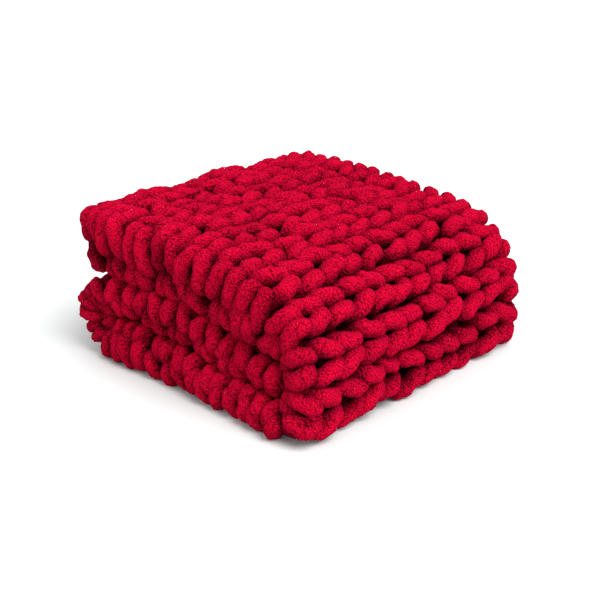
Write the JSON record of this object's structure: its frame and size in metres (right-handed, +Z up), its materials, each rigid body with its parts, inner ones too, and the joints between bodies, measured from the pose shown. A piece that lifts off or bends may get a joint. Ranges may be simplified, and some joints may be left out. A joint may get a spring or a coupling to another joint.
{
  "type": "folded chunky knit blanket",
  "caption": "Chunky chenille knit throw blanket in crimson red, folded in half and then in thirds, lying flat.",
  "frame": {"origin": "middle of the folded blanket's footprint, on the surface it lies on", "axes": "+Z up, +X towards the wide fold that the top third turns down over, -Y towards the edge where the sheet is folded in half"},
  "size_m": [0.4056, 0.403, 0.1944],
  "materials": {
    "yarn": "soft velvety chenille pile"
  },
  "bodies": {
    "root": {"knit_blanket": "yarn"}
  },
  "joints": []
}
